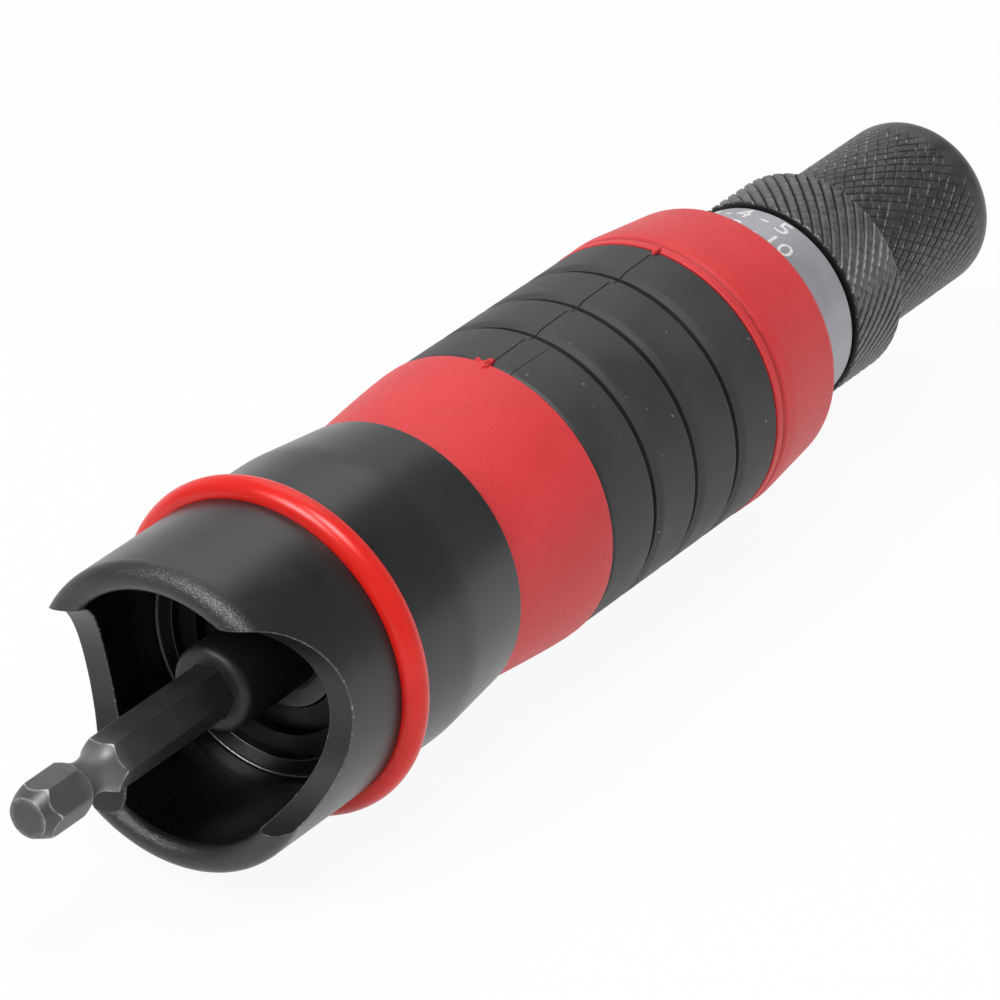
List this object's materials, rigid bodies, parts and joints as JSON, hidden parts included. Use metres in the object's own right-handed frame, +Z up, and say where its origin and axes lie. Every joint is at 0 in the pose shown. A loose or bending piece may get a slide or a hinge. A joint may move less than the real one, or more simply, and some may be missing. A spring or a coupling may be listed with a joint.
{
  "type": "rivet nut tool",
  "caption": "Drill-driven rivet nut setter: hex shank in a scalloped cup, ringed rubber grip, size ring, knurled lock collar and nose sleeve around a screw that draws a mandrel chuck back.",
  "frame": {"origin": "on the tool's axis at the end of the hex shank", "axes": "+Y along the tool's axis from the shank to the nose, +Z up with the tool lying down, grip seam on top"},
  "size_m": [0.0442, 0.1922, 0.0442],
  "materials": {
    "black_alloy": "black anodised, bead blasted satin",
    "bumper_red": "glossy red moulded cord",
    "grip_red": "fine grained moulded red",
    "grip_black": "matte black moulded rubber",
    "grey_alloy": "satin grey anodised",
    "seal_black": "black seal",
    "black_steel": "black oxide",
    "knurled_steel": "black oxide over diamond knurl",
    "shank_steel": "dark phosphated, bright at worn edges",
    "bright_steel": "ground bearing steel",
    "machined_steel": "turned steel, lightly oiled",
    "spring_steel": "phosphated spring steel",
    "dark_shield": "pressed steel shield",
    "cage_brass": "pressed brass cage"
  },
  "bodies": {
    "handle": {"barrel": "black_alloy", "bumper_ring": "bumper_red", "grip_core": "grip_red", "grip_rubber": "grip_black", "size_ring": "grey_alloy", "nose_tube": "black_steel", "seal_ring": "seal_black", "bearing_outer_race": "bright_steel", "bearing_shield": "dark_shield", "retaining_ring": "spring_steel", "thrust_washer_front": "bright_steel", "guide_pins": "bright_steel"},
    "drive": {"drive_shank": "shank_steel", "shank_pin": "bright_steel", "spindle": "shank_steel", "bearing_inner_race": "bright_steel", "thrust_washer_rear": "bright_steel", "screw_stop_ring": "spring_steel"},
    "ball_set": {"bearing_cage": "cage_brass", "bearing_balls": "bright_steel"},
    "roller_set": {"thrust_cage": "cage_brass", "thrust_rollers": "bright_steel"},
    "puller": {"draw_sleeve": "machined_steel", "mandrel_chuck": "black_steel", "chuck_set_screws": "black_steel"},
    "collar": {"lock_collar": "knurled_steel"},
    "anvil": {"anvil_bush": "machined_steel"},
    "nose": {"nose_sleeve": "knurled_steel", "anvil_snap_ring": "spring_steel"}
  },
  "joints": [
    {"name": "drive_spin", "type": "hinge", "parent": "handle", "child": "drive", "pos_m": [0, 0.041, 0], "axis": [0, 1, 0], "range_deg": [0, 1262]},
    {"name": "puller_slide", "type": "slide", "parent": "handle", "child": "puller", "axis": [0, 1, 0], "range_m": [-0.007, 0]},
    {"name": "ball_set_spin", "type": "hinge", "parent": "handle", "child": "ball_set", "pos_m": [0, 0.0518, 0], "axis": [0, 1, 0], "range_deg": [0, 482]},
    {"name": "roller_set_spin", "type": "hinge", "parent": "handle", "child": "roller_set", "pos_m": [0, 0.0624, 0], "axis": [0, 1, 0], "range_deg": [0, 632]},
    {"name": "collar_turn", "type": "hinge", "parent": "handle", "child": "collar", "pos_m": [0, 0.159, 0], "axis": [0, 1, 0], "range_deg": [-40, 0]},
    {"name": "nose_advance", "type": "slide", "parent": "handle", "child": "anvil", "axis": [0, 1, 0], "range_m": [0, 0.006]},
    {"name": "nose_turn", "type": "hinge", "parent": "anvil", "child": "nose", "pos_m": [0, 0.178, 0], "axis": [0, 1, 0], "range_deg": [0, 1442]}
  ],
  "couplings": [
    {"joint": "drive_spin", "follows": "puller_slide", "rad_per_m": -3141.6},
    {"joint": "ball_set_spin", "follows": "puller_slide", "rad_per_m": -1196.9},
    {"joint": "roller_set_spin", "follows": "puller_slide", "rad_per_m": -1570.8},
    {"joint": "nose_turn", "follows": "nose_advance", "rad_per_m": 4188.8}
  ]
}
